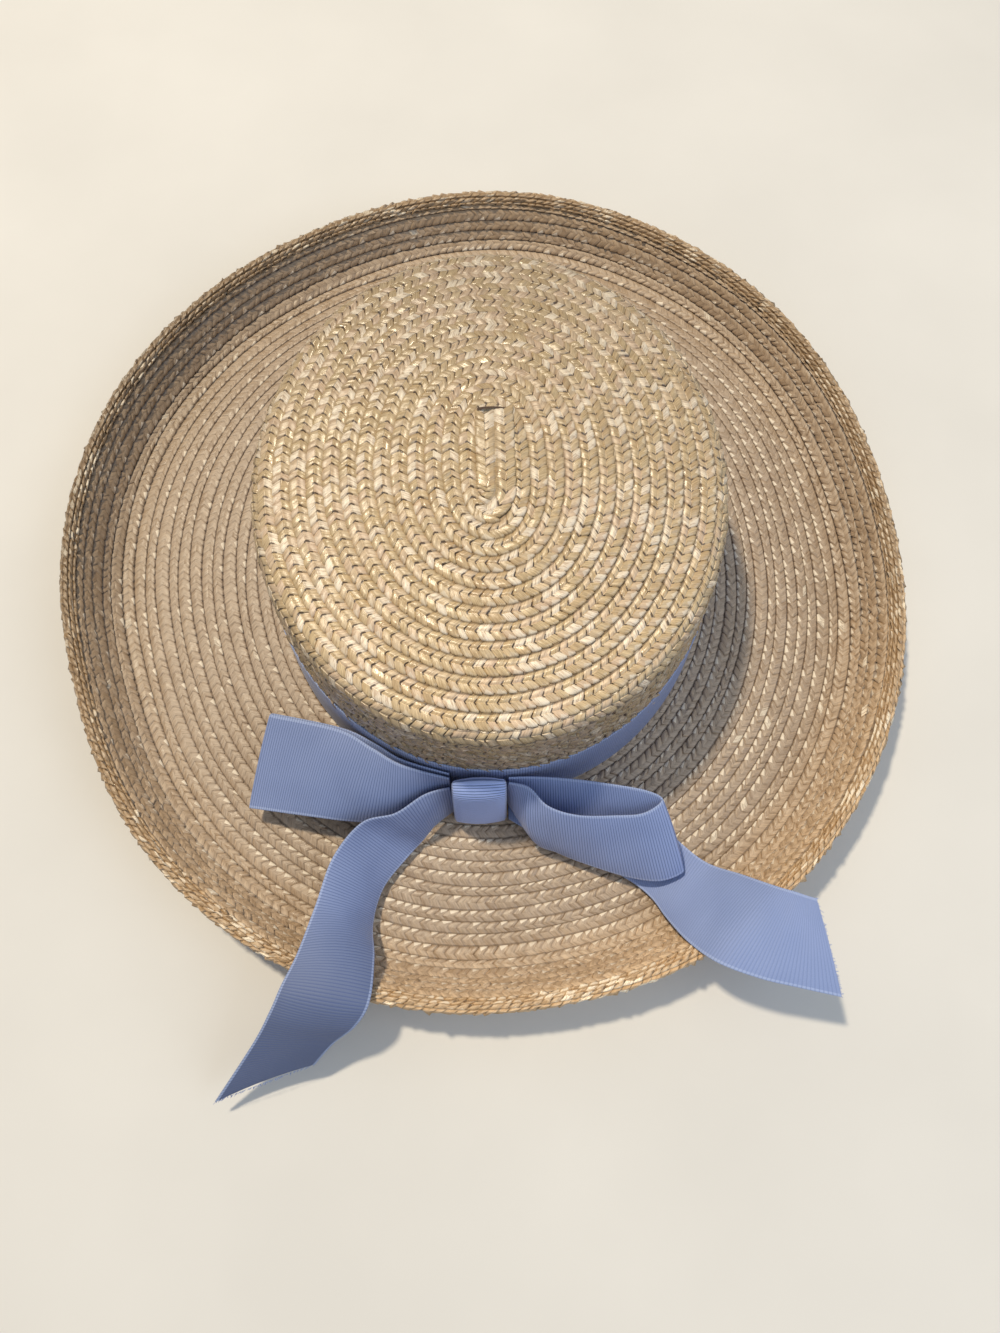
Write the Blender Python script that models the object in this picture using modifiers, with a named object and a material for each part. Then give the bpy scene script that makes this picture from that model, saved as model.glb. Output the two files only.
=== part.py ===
"""A straw boater with an upturned brim, a ribbon band and a flat bow.

Metres, +Z up. The hat stands on the flat underside of its brim, crown up, with
the bow at -Y. The origin is under the middle of the hat's box, on the surface.
"""
import math
from collections import namedtuple

import bpy
import bmesh
from mathutils import Vector

# General sizes
WALL = 0.0020                # straw wall, two laps of braid
CLOTH = 0.0010               # ribbon thickness with its ribs
RIBBON_WIDTH = 0.0350
GAP = 0.0003                 # clear space between neighbouring pieces
SEGMENTS = 72                # steps round the crown and the brim

# The crown's axis, from the middle of the hat's box
CROWN_X = 0.0039
CROWN_Y = 0.0158

# Crown: half sizes of its oval at the foot and at the tip
FOOT_HALF_X = 0.0856
FOOT_HALF_Y = 0.0984
TIP_HALF_X = 0.0818
TIP_HALF_Y = 0.0945
SIDE_HEIGHT = 0.0675         # from the brim up to the edge of the tip
SHOULDER_RADIUS = 0.0070
SHOULDER_ANGLE = math.radians(80)
DOME_HEIGHT = 0.0070         # rise of the tip over its own edge
SIDE_STEPS = 3
SHOULDER_STEPS = 4
DOME_STEPS = 4

# Brim: half sizes of its oval at the rim, and how far its centre lies from the crown's axis
RIM_HALF_X = 0.1621
RIM_HALF_Y = 0.1716
RIM_SHIFT_X = -0.0027
RIM_SHIFT_Y = -0.0037

# Upturned edge: an arc out of the flat, a straight wall and a lip that flares outward
CURL_RADIUS = 0.0120
CURL_ANGLE = math.radians(62)
CURL_WALL = 0.0112
LIP_ANGLE = math.radians(45)
LIP_WIDTH = 0.0062           # with the doubled braid
LIP_OF_BRIM = 0.0015         # the stretch of it that is the brim's own
CURL_STEPS = 4
FLAT_STEPS = 2

# Doubled braid round the rim
EDGE_THICKNESS = 0.0032
EDGE_PROUD = 0.0006          # how far it stands over the brim's upper face

# Lumps of the rim, where the straw has lost its oval
Lump = namedtuple("Lump", "azimuth_deg half_width_deg out")
RIM_LUMPS = (
    Lump(160, 22, 0.0024),
    Lump(-161, 14, -0.0020),
    Lump(-83, 12, -0.0011),
    Lump(-36, 26, 0.0014),
    Lump(8, 20, -0.0022),
    Lump(79, 14, 0.0010),
    Lump(115, 18, -0.0018),
)

# Knot of the bow
KNOT_WIDTH = 0.0190
KNOT_X = -0.0067
KNOT_BACK = -0.0999
KNOT_FRONT_LOW = -0.1102
KNOT_FRONT_HIGH = -0.1052
KNOT_LOW = 0.0025
KNOT_HIGH = 0.0345
KNOT_ROUNDING = 0.0035

# Ribbon strips of the bow, a row for each section or fold. The two edges are
# measured from the crown's axis and the brim's upper face. The bulge is the rise
# of the section's middle over the line between its edges.
Section = namedtuple("Section", "upper lower bulge")
LEFT_LOOP = (
    Section((-0.0170, -0.0986, 0.0310), (-0.0170, -0.0996, 0.0080), 0.0003),
    Section((-0.0336, -0.0934, 0.0320), (-0.0360, -0.1095, 0.0092), 0.0020),
    Section((-0.0435, -0.0872, 0.0315), (-0.0530, -0.1095, 0.0125), 0.0022),
    Section((-0.0560, -0.0792, 0.0280), (-0.0670, -0.1077, 0.0138), 0.0012),
    Section((-0.0805, -0.0713, 0.0202), (-0.0889, -0.1036, 0.0102), 0.0005),
    Section((-0.0819, -0.0706, 0.0190), (-0.0903, -0.1032, 0.0090), 0.0004),
    Section((-0.0801, -0.0703, 0.0180), (-0.0884, -0.1028, 0.0080), 0.0004),
    Section((-0.0555, -0.0781, 0.0257), (-0.0665, -0.1068, 0.0115), 0.0010),
    Section((-0.0430, -0.0852, 0.0297), (-0.0525, -0.1083, 0.0104), 0.0018),
    Section((-0.0332, -0.0916, 0.0310), (-0.0355, -0.1072, 0.0078), 0.0014),
    Section((-0.0170, -0.0970, 0.0310), (-0.0170, -0.0982, 0.0080), 0.0003),
)
RIGHT_LOOP = (
    Section((0.0036, -0.1006, 0.0310), (0.0036, -0.1036, 0.0065), 0.0005),
    Section((0.0120, -0.1068, 0.0302), (0.0135, -0.1185, 0.0062), 0.0015),
    Section((0.0270, -0.1110, 0.0280), (0.0300, -0.1260, 0.0066), 0.0010),
    Section((0.0400, -0.1125, 0.0270), (0.0455, -0.1315, 0.0074), 0.0006),
    Section((0.0500, -0.1120, 0.0275), (0.0572, -0.1335, 0.0095), 0.0006),
    Section((0.0566, -0.1078, 0.0285), (0.0652, -0.1305, 0.0115), 0.0008),
    Section((0.0518, -0.1046, 0.0290), (0.0595, -0.1268, 0.0095), 0.0006),
    Section((0.0405, -0.1023, 0.0300), (0.0450, -0.1222, 0.0076), 0.0004),
    Section((0.0273, -0.1003, 0.0310), (0.0300, -0.1178, 0.0068), 0.0004),
    Section((0.0140, -0.0990, 0.0310), (0.0145, -0.1112, 0.0065), 0.0003),
    Section((0.0036, -0.0989, 0.0310), (0.0036, -0.1016, 0.0065), 0.0003),
)
LEFT_TAIL = (
    Section((-0.0170, -0.1008, 0.0260), (-0.0170, -0.1055, 0.0040), 0.0008),
    Section((-0.0260, -0.1030, 0.0255), (-0.0235, -0.1103, 0.0037), 0.0022),
    Section((-0.0365, -0.1088, 0.0225), (-0.0280, -0.1155, 0.0035), 0.0010),
    Section((-0.0485, -0.1115, 0.0205), (-0.0340, -0.1220, 0.0035), -0.0014),
    Section((-0.0585, -0.1230, 0.0195), (-0.0425, -0.1325, 0.0042), 0.0018),
    Section((-0.0640, -0.1395, 0.0205), (-0.0460, -0.1450, 0.0062), 0.0036),
    Section((-0.0685, -0.1550, 0.0255), (-0.0440, -0.1570, 0.0172), 0.0036),
    Section((-0.0730, -0.1650, 0.0275), (-0.0443, -0.1705, 0.0247), 0.0026),
    Section((-0.0770, -0.1730, 0.0250), (-0.0490, -0.1780, 0.0222), 0.0018),
    Section((-0.0835, -0.1830, 0.0190), (-0.0570, -0.1835, 0.0165), 0.0005),
    Section((-0.0977, -0.2013, 0.0080), (-0.0643, -0.1904, 0.0100), -0.0014),
)
RIGHT_TAIL = (
    Section((0.0036, -0.1008, 0.0037), (0.0036, -0.1090, 0.0037), 0.0002),
    Section((0.0200, -0.0994, 0.0032), (0.0170, -0.1170, 0.0022), 0.0004),
    Section((0.0375, -0.0996, 0.0032), (0.0330, -0.1245, 0.0022), 0.0006),
    Section((0.0530, -0.1065, 0.0037), (0.0470, -0.1325, 0.0023), 0.0008),
    Section((0.0640, -0.1175, 0.0052), (0.0545, -0.1390, 0.0032), 0.0008),
    Section((0.0740, -0.1275, 0.0095), (0.0585, -0.1465, 0.0085), 0.0012),
    Section((0.0845, -0.1330, 0.0175), (0.0635, -0.1550, 0.0180), 0.0018),
    Section((0.0935, -0.1377, 0.0245), (0.0710, -0.1620, 0.0260), 0.0016),
    Section((0.0996, -0.1400, 0.0265), (0.0840, -0.1673, 0.0270), 0.0012),
    Section((0.1030, -0.1413, 0.0268), (0.0965, -0.1705, 0.0260), 0.0010),
    Section((0.1063, -0.1424, 0.0270), (0.1113, -0.1740, 0.0240), 0.0008),
)
STRIP_STEPS = 3              # steps between two rows of a strip
STRIP_LANES = 4              # lanes across a strip

# Colours, roughness
STRAW = ((0.62, 0.46, 0.27, 1.0), 0.55)
STRAW_BRIM = ((0.56, 0.42, 0.28, 1.0), 0.60)
RIBBON = ((0.19, 0.28, 0.58, 1.0), 0.70)


# Scene and materials

def clear_scene():
    """Remove every object that the file starts with."""
    for obj in list(bpy.data.objects):
        bpy.data.objects.remove(obj, do_unlink=True)


def make_material(name, look):
    """A plain surface of one colour and roughness."""
    colour, roughness = look
    material = bpy.data.materials.new(name)
    material.use_nodes = True
    shader = material.node_tree.nodes["Principled BSDF"]
    shader.inputs["Base Color"].default_value = colour
    shader.inputs["Roughness"].default_value = roughness
    shader.inputs["Metallic"].default_value = 0.0
    return material


def add_object(name, mesh, look, collection):
    """Put a mesh in the collection as a named object with its own material."""
    mesh.shade_smooth()
    mesh.set_sharp_from_angle(angle=math.radians(40))
    mesh.materials.append(make_material(name, look))
    obj = bpy.data.objects.new(name, mesh)
    collection.objects.link(obj)
    return obj


def thicken(obj, thickness, offset):
    """Turn an open sheet into a wall; offset -1 grows it behind the sheet's face."""
    solid = obj.modifiers.new("wall", "SOLIDIFY")
    solid.thickness = thickness
    solid.offset = offset
    solid.use_even_offset = True


# Ovals and rings

def blend(start, end, share):
    """The value a share of the way from start to end."""
    return start + (end - start) * share


def rim_lump(azimuth):
    """How far the rim stands out of its oval at an azimuth in radians."""
    out = 0.0
    for lump in RIM_LUMPS:
        away = math.degrees(azimuth) - lump.azimuth_deg
        away = (away + 180.0) % 360.0 - 180.0
        out += lump.out * math.exp(-(away / lump.half_width_deg) ** 2)
    return out


def oval_ring(half_x, half_y, height, shift=(0.0, 0.0), lumpy=0.0):
    """Points of an oval round the crown's axis; lumpy is its share of the rim's lumps."""
    ring = []
    for step in range(SEGMENTS):
        azimuth = 2.0 * math.pi * step / SEGMENTS
        out = lumpy * rim_lump(azimuth)
        x = CROWN_X + shift[0] + (half_x + out) * math.cos(azimuth)
        y = CROWN_Y + shift[1] + (half_y + out) * math.sin(azimuth)
        ring.append(Vector((x, y, height)))
    return ring


def ring_sheet(name, rings, apex=None):
    """An open sheet through rings of points; apex closes the last ring."""
    count = len(rings[0])
    points = [point for ring in rings for point in ring]
    faces = []
    for row in range(len(rings) - 1):
        for step in range(count):
            turn = (step + 1) % count
            low, high = row * count, (row + 1) * count
            faces.append((low + step, low + turn, high + turn, high + step))
    if apex is not None:
        last = (len(rings) - 1) * count
        points.append(apex)
        top = len(points) - 1
        faces += [(last + step, last + (step + 1) % count, top) for step in range(count)]
    mesh = bpy.data.meshes.new(name)
    mesh.from_pydata(points, [], faces)
    return mesh


# Straw pieces

def crown_half_sizes(height):
    """Half sizes of the crown's outer face at a height over the brim's upper face."""
    share = height / SIDE_HEIGHT
    return blend(FOOT_HALF_X, TIP_HALF_X, share), blend(FOOT_HALF_Y, TIP_HALF_Y, share)


def crown_profile():
    """(half x, half y, height) of the crown's rings, from its foot to the edge of its dome."""
    rows = []
    side_top = SIDE_HEIGHT - SHOULDER_RADIUS
    for step in range(SIDE_STEPS):
        height = blend(GAP, side_top, step / SIDE_STEPS)
        rows.append((*crown_half_sizes(height), height))
    half_x, half_y = crown_half_sizes(side_top)
    for step in range(SHOULDER_STEPS + 1):
        turn = SHOULDER_ANGLE * step / SHOULDER_STEPS
        inward = SHOULDER_RADIUS * (1.0 - math.cos(turn))
        rows.append((half_x - inward, half_y - inward, side_top + SHOULDER_RADIUS * math.sin(turn)))
    edge_x, edge_y, edge_height = rows[-1]
    for step in range(1, DOME_STEPS):
        share = 1.0 - step / DOME_STEPS
        rise = DOME_HEIGHT * (1.0 - share ** 2)
        rows.append((edge_x * share, edge_y * share, edge_height + rise))
    return rows, edge_height + DOME_HEIGHT


def make_crown(collection):
    """The crown, a hollow oval drum with a domed tip, open below."""
    rows, top = crown_profile()
    rings = [oval_ring(half_x, half_y, WALL + height) for half_x, half_y, height in rows]
    mesh = ring_sheet("crown", rings, apex=Vector((CROWN_X, CROWN_Y, WALL + top)))
    thicken(add_object("crown", mesh, STRAW, collection), WALL, -1.0)


def curl_profile():
    """(run, rise) of the upturned edge's upper face, from the flat to the foot of the lip."""
    rows = []
    for step in range(CURL_STEPS + 1):
        turn = CURL_ANGLE * step / CURL_STEPS
        rows.append((CURL_RADIUS * math.sin(turn), CURL_RADIUS * (1.0 - math.cos(turn))))
    run, rise = rows[-1]
    rows.append((run + CURL_WALL * math.cos(CURL_ANGLE), rise + CURL_WALL * math.sin(CURL_ANGLE)))
    return rows


def lip_point(along, proud=0.0):
    """(run, rise) on the lip, at a distance from its foot and above its upper face."""
    run, rise = curl_profile()[-1]
    run += along * math.cos(LIP_ANGLE) - proud * math.sin(LIP_ANGLE)
    rise += along * math.sin(LIP_ANGLE) + proud * math.cos(LIP_ANGLE)
    return run, rise


def rim_ring(run, rise):
    """The ring of the upturned edge at a run and rise from the end of the flat."""
    inward = lip_point(LIP_WIDTH)[0] - run
    shift = (RIM_SHIFT_X, RIM_SHIFT_Y)
    return oval_ring(RIM_HALF_X - inward, RIM_HALF_Y - inward, WALL + rise, shift, 1.0)


def make_brim(collection):
    """The brim, flat from the crown outward, with its edge curled up."""
    rings = [rim_ring(*lip_point(LIP_OF_BRIM))]
    rings += [rim_ring(run, rise) for run, rise in reversed(curl_profile())]
    flat_end = lip_point(LIP_WIDTH)[0]
    for step in range(1, FLAT_STEPS + 1):
        share = 1.0 - step / FLAT_STEPS
        half_x = blend(FOOT_HALF_X - WALL, RIM_HALF_X - flat_end, share)
        half_y = blend(FOOT_HALF_Y - WALL, RIM_HALF_Y - flat_end, share)
        shift = (RIM_SHIFT_X * share, RIM_SHIFT_Y * share)
        rings.append(oval_ring(half_x, half_y, WALL, shift, share))
    mesh = ring_sheet("brim", rings)
    thicken(add_object("brim", mesh, STRAW_BRIM, collection), WALL, -1.0)


def make_edge_braid(collection):
    """The doubled braid that finishes the rim, end to end with the brim's wall."""
    foot = LIP_OF_BRIM + GAP
    rings = [rim_ring(*lip_point(along, EDGE_PROUD)) for along in (LIP_WIDTH, foot)]
    mesh = ring_sheet("edge_braid", rings)
    thicken(add_object("edge_braid", mesh, STRAW_BRIM, collection), EDGE_THICKNESS, -1.0)


# Ribbon pieces

def make_hat_band(collection):
    """The ribbon round the foot of the crown, standing on the brim."""
    rings = []
    for height in (GAP, GAP + 0.5 * RIBBON_WIDTH, GAP + RIBBON_WIDTH):
        half_x, half_y = crown_half_sizes(height)
        rings.append(oval_ring(half_x + GAP, half_y + GAP, WALL + height))
    mesh = ring_sheet("hat_band", rings)
    thicken(add_object("hat_band", mesh, RIBBON, collection), CLOTH, 1.0)


def make_bow_knot(collection):
    """The wrap that gathers the bow, a rounded block whose front leans back."""
    mesh = bpy.data.meshes.new("bow_knot")
    shape = bmesh.new()
    bmesh.ops.create_cube(shape, size=1.0)
    for corner in shape.verts:
        high = corner.co.z > 0
        front = KNOT_FRONT_HIGH if high else KNOT_FRONT_LOW
        x = CROWN_X + KNOT_X + KNOT_WIDTH * corner.co.x
        y = CROWN_Y + (KNOT_BACK if corner.co.y > 0 else front)
        corner.co = (x, y, WALL + (KNOT_HIGH if high else KNOT_LOW))
    shape.to_mesh(mesh)
    shape.free()
    rounding = add_object("bow_knot", mesh, RIBBON, collection).modifiers.new("round", "BEVEL")
    rounding.width = KNOT_ROUNDING
    rounding.segments = 4


def smooth_row(points, index, share):
    """A point on the smooth curve through points, a share of the way past index."""
    last = len(points) - 1
    near = [Vector(points[min(max(index + step, 0), last)]) for step in (-1, 0, 1, 2)]
    before, here, after, beyond = near
    bend = 2.0 * before - 5.0 * here + 4.0 * after - beyond
    twist = 3.0 * (here - after) + beyond - before
    return here + 0.5 * share * (after - before + share * (bend + share * twist))


def strip_rows(sections):
    """Upper edge, lower edge and bulge along a strip, with STRIP_STEPS to a section."""
    rows = []
    for index in range(len(sections) - 1):
        for step in range(STRIP_STEPS):
            share = step / STRIP_STEPS
            upper = smooth_row([row.upper for row in sections], index, share)
            lower = smooth_row([row.lower for row in sections], index, share)
            bulge = blend(sections[index].bulge, sections[index + 1].bulge, share)
            rows.append((upper, lower, bulge))
    last = sections[-1]
    rows.append((Vector(last.upper), Vector(last.lower), last.bulge))
    return rows


def strip_sheet(name, sections, side):
    """The open sheet of a ribbon strip; side is 1 left of the knot and -1 right of it."""
    rows = strip_rows(sections)
    foot = Vector((CROWN_X, CROWN_Y, WALL))
    points = []
    for index, (upper, lower, bulge) in enumerate(rows):
        before, after = rows[max(index - 1, 0)], rows[min(index + 1, len(rows) - 1)]
        onward = after[0] + after[1] - before[0] - before[1]
        outward = side * onward.cross(lower - upper).normalized()
        for lane in range(STRIP_LANES + 1):
            share = lane / STRIP_LANES
            rise = bulge * (1.0 - (2.0 * share - 1.0) ** 2)
            points.append(foot + upper.lerp(lower, share) + outward * rise)
    faces = []
    width = STRIP_LANES + 1
    for row in range(len(rows) - 1):
        for lane in range(STRIP_LANES):
            corner = row * width + lane
            faces.append((corner, corner + 1, corner + width + 1, corner + width))
    mesh = bpy.data.meshes.new(name)
    mesh.from_pydata(points, [], faces)
    return mesh


def make_strip(name, sections, side, collection):
    """One ribbon strip of the bow as a thin wall."""
    mesh = strip_sheet(name, sections, side)
    thicken(add_object(name, mesh, RIBBON, collection), CLOTH, 0.0)


def make_hat():
    """Build every piece of the hat."""
    clear_scene()
    hat = bpy.data.collections.new("boater_hat")
    bpy.context.scene.collection.children.link(hat)
    make_crown(hat)
    make_brim(hat)
    make_edge_braid(hat)
    make_hat_band(hat)
    make_bow_knot(hat)
    make_strip("bow_loop_left", LEFT_LOOP, 1, hat)
    make_strip("bow_loop_right", RIGHT_LOOP, -1, hat)
    make_strip("bow_tail_left", LEFT_TAIL, 1, hat)
    make_strip("bow_tail_right", RIGHT_TAIL, -1, hat)


make_hat()
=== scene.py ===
"""The looks of a straw boater: plaited crown and brim, ribbon band and flat bow.

Metres, +Z up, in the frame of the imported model. The hat stands on the flat underside
of its brim, with the bow at -Y. The straw is one long plait, laid in a spiral and
sewn lap over lap; each visible strand of it is modelled. Turns of the spiral are
clockwise angles, seen from above, from the back of the hat (+Y).
"""
import math
from collections import namedtuple

import bpy
import numpy as np
from mathutils import Matrix, Vector


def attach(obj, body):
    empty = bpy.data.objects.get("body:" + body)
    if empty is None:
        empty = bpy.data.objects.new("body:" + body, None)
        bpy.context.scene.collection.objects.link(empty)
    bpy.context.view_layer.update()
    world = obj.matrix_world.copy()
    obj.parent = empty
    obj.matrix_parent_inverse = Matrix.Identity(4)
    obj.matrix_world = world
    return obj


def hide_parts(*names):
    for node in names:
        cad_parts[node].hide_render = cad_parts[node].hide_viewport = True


# Sizes of the hat
MM = 0.001  # the rows' heights, the knot and the bow are given in millimetres
WALL = 0.0020  # straw wall, two laps of braid
CLOTH = 0.0005  # ribbon, without its ribs
RIBBON_WIDTH = 0.0350
GAP = 0.0003
CROWN_X = 0.0039
CROWN_Y = 0.0158
FOOT_HALF_X = 0.0856
FOOT_HALF_Y = 0.0984
TIP_HALF_X = 0.0818
TIP_HALF_Y = 0.0945
SIDE_HEIGHT = 0.0675
SHOULDER_RADIUS = 0.0070
SHOULDER_ANGLE = math.radians(80)
DOME_HEIGHT = 0.0070
STRIP_REACH = 0.0140  # how much longer than wide the innermost rows are
STRIP_SQUARENESS = 0.15
RIM_HALF_X = 0.1621
RIM_HALF_Y = 0.1716
RIM_SHIFT_X = -0.0027
RIM_SHIFT_Y = -0.0037
CURL_RADIUS = 0.0120
CURL_ANGLE = math.radians(62)
CURL_WALL = 0.0112
LIP_ANGLE = math.radians(45)
LIP_WIDTH = 0.0062
LIP_OF_BRIM = 0.0015
EDGE_THICKNESS = 0.0032
EDGE_PROUD = 0.0006

# Lumps of the rim, where the straw has lost its oval
Lump = namedtuple("Lump", "azimuth_deg half_width_deg out")
RIM_LUMPS = (
    Lump(160, 22, 0.0024),
    Lump(-161, 14, -0.0020),
    Lump(-83, 12, -0.0011),
    Lump(-36, 26, 0.0014),
    Lump(8, 20, -0.0022),
    Lump(79, 14, 0.0010),
    Lump(115, 18, -0.0018),
)

# The plait
PERIOD = 0.0035  # along the braid, from one strand to the next
TIP_ROW = 0.0058  # exposed width of a row on the crown
BRIM_ROW = 0.0043  # exposed width of a row on the brim
BRIM_FLAT = 13.5 * BRIM_ROW  # nominal width of the flat brim
STRAY = 0.00035  # how far the brim's rows stray from their even places
SUNK = 0.00025  # how far the laps lie under the solid's face
EDGE_SUNK = 0.0002  # and those of the rim's doubled braid
UNDER_SUNK = 0.0011  # and those of an inner or lower face
UNDER_LIMIT = 0.0019  # how far they reach at most, so that the hat stands on the floor
PILLOW = 0.00034  # roundness of a strand
UNEVEN = 0.00010  # spread of the strands' heights
TILTED = 0.00065  # spread of their tilts, from one side of a strand to the other
ROLLED = 0.00028  # spread of their tilts, from one end of a fold to the other
SHIFTED = 0.09  # spread of their places along the braid, in strands
FRONT_RIGHT = 0.75 * math.pi  # turn of the front right, where the rows are most distinct
LIVELY = 1.5  # how much rounder the brim's strands are there
WOVEN = 0.75  # share of the crown's grooves that is gone on the back left
WOVEN_HEIGHT = 0.00045  # where the rows' sections level out there
FULL_TURN = 2.0 * math.pi
CROWN_TURNS = 26
BRIM_TURNS = 21
TIP_LAP = 0.003  # how far the tip's rows go on over the shoulder
BAND_LAP = 0.002  # how far the side's fine rows go on under the ribbon
FOOT_LAP = 0.001  # how far the inner rows go on at the foot

# A row's section, from the edge tucked under its neighbour to its open selvage.
# across: share of the row's width; slant: how far along the row the strands have run,
# in strands; height: over the laps' own face; pillow: share of the strand's roundness;
# scallop: share of the row's width by which a strand bows out
Line = namedtuple("Line", "across slant height pillow scallop")
CROWN_ROW = (
    Line(-0.12, -0.08, -0.35, 0.2, 0.0),
    Line(0.03, 0.05, -0.20, 0.4, 0.0),
    Line(0.10, 0.12, 0.08, 1.0, 0.0),
    Line(0.30, 0.34, 0.30, 1.1, 0.0),
    Line(0.48, 0.54, 0.45, 1.0, 0.0),
    Line(0.52, 0.58, 0.22, 0.3, 0.0),
    Line(0.56, 0.54, 0.48, 1.1, 0.0),
    Line(0.78, 0.30, 0.62, 1.2, 0.0),
    Line(0.93, 0.14, 0.56, 1.2, 0.03),
    Line(1.00, 0.07, 0.30, 0.6, 0.06),
    Line(1.02, 0.06, -0.35, 0.2, 0.04),
)
BRIM_ROW_LINES = (
    Line(-0.10, -0.12, -0.45, 0.1, 0.0),
    Line(0.04, 0.05, -0.30, 0.1, 0.0),
    Line(0.12, 0.14, 0.00, 0.3, 0.0),
    Line(0.54, 0.62, 0.10, 0.3, 0.0),
    Line(0.62, 0.56, 0.14, 0.3, 0.0),
    Line(0.80, 0.36, 0.20, 0.4, 0.02),
    Line(0.94, 0.19, 0.18, 0.4, 0.04),
    Line(1.00, 0.14, 0.06, 0.3, 0.05),
    Line(1.02, 0.12, -0.40, 0.1, 0.04),
)
CURL_ROW_LINES = tuple(line._replace(height=1.8 * line.height, pillow=1.5 * line.pillow)
                       for line in BRIM_ROW_LINES)
RIM_ROW_LINES = (
    Line(-0.05, -0.10, -0.40, 0.2, 0.0),
    Line(0.10, 0.10, 0.05, 0.8, 0.0),
    Line(0.45, 0.45, 0.35, 1.2, 0.0),
    Line(0.80, 0.80, 0.50, 1.3, 0.04),
    Line(0.97, 0.95, 0.20, 0.7, 0.10),
    Line(1.04, 1.00, -0.40, 0.2, 0.06),
)
PLAIN_ROW = (
    Line(-0.10, -0.10, -0.15, 0.3, 0.0),
    Line(0.10, 0.10, 0.15, 1.0, 0.0),
    Line(0.52, 0.56, 0.45, 0.8, 0.0),
    Line(0.90, 0.16, 0.70, 1.0, 0.0),
    Line(1.02, 0.06, -0.15, 0.2, 0.0),
)

FOLD = 0.55  # where the strands turn back, as a share of the row's width
HALF_MIDDLES = (0.30, 0.78)  # middles of a row's two halves

# A strand's section: share of its width, share of its roundness. One side dives
# steeply under the next strand.
Rib = namedtuple("Rib", "share rise")
STRAND = (Rib(0.0, 0.0), Rib(0.10, 1.0), Rib(0.50, 1.0), Rib(0.88, 0.70))
PLAIN_STRAND = (Rib(0.0, 0.0), Rib(0.35, 1.0), Rib(0.75, 0.7))

# The strip of full-width braid that the spiral starts from, in the middle of the tip
SPIRAL_START = 0.88 * math.pi
START_X = 0.0019
START_END = 0.0204
START_SPARE = 0.0100  # of its course, before and after it
START_STRAIGHT = 0.0305
START_BEND = 0.0060
START_TURN = math.radians(100)
START_WIDTH = 0.0125
START_PROUD = 0.0006
START_DIVE = 0.0005
CUT_WIDTHS = (0.0011, 0.0004)  # of the band of painted shade at the strip's cut end, from left to right
CUT_SIDES = np.array([-0.7, 0.3])  # shares of that width before and behind the end
CUT_SPAN = (-0.46, 0.42)  # from its left to its right end, as shares of the strip's width
CUT_STEPS = 15
CUT_PROUD = 0.0011
CUT_BOW = 0.0008
EDGE_ROWS = 7  # rows round the section of the rim's doubled braid

# Ribbon
RIB_PITCH = 0.00095
RIB_HEIGHT = 0.00013
SELVAGE_SHARE = 0.03
SELVAGE_RELIEF = 0.35  # height of the ribs there
RIB = (Rib(0.0, 0.0), Rib(0.22, 0.85), Rib(0.50, 1.0), Rib(0.78, 0.85))
RIBBON_LANES = (0.0, 0.012, 0.03, 0.14, 0.28, 0.43, 0.57, 0.72, 0.86, 0.97, 0.988, 1.0)
FRAY_THREADS = 60
FRAY_LENGTH = 0.0014
FRAY_WIDTH = 0.0004
FRAY_SPLAY = 0.35
KNOT_WIDTH = 0.0190
KNOT_X = -0.0067
KNOT_SWELL = 0.0013
KNOT_CLOSED = 0.0008  # how far its closed sides are turned in
KNOT_LANES = (0.0, 0.0, 0.04, 0.2, 0.4, 0.6, 0.8, 0.96, 1.0, 1.0)
KnotPoint = namedtuple("KnotPoint", "y z")
KNOT = (
    KnotPoint(-100.5, 3.2),
    KnotPoint(-106.0, 2.7),
    KnotPoint(-109.5, 6.2),
    KnotPoint(-108.6, 15.0),
    KnotPoint(-107.0, 24.0),
    KnotPoint(-105.2, 31.2),
    KnotPoint(-102.5, 34.0),
    KnotPoint(-100.2, 33.0),
    KnotPoint(-100.0, 18.0),
)

# Camera and light
CAMERA_PLACE = (0.0013, -0.1461, 0.3499)
CAMERA_PITCH = 1.2545  # down from level
CAMERA_YAW = 0.0427
CAMERA_ROLL = 0.0138
FOCAL_PIXELS = 925.0
PICTURE_HEIGHT = 1333.0
SENSOR = 36.0  # mm, on the picture's height
AIM = (0.0, 0.0, 0.03)
KEY_DIRECTION = (-0.31, 0.32, 1.0)
KEY_DISTANCE = 2.2
KEY_SIZE = 0.15
KEY_POWER = 38.0
KEY_COLOUR = (1.0, 0.86, 0.64)
FILL_PLACE = (1.00, -0.45, 0.85)
FILL_SIZE = 1.0
FILL_POWER = 5.0
FILL_COLOUR = (0.80, 0.90, 1.0)
SURROUND = 0.38
SURROUND_COLOUR = (0.84, 0.91, 1.0, 1.0)


# Surfaces. Each takes arrays of distances and turns, and gives points.

def from_zero(steps):
    """Distances along a path from the lengths of its steps."""
    return np.concatenate([[0.0], np.cumsum(steps)])


def unit(vectors):
    """Vectors of length 1 in the same directions."""
    return vectors / (np.linalg.norm(vectors, axis=-1, keepdims=True) + 1e-12)


def path_lengths(points):
    """Distances along a path from its points."""
    return from_zero(np.linalg.norm(np.diff(points, axis=0), axis=1))


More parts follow.
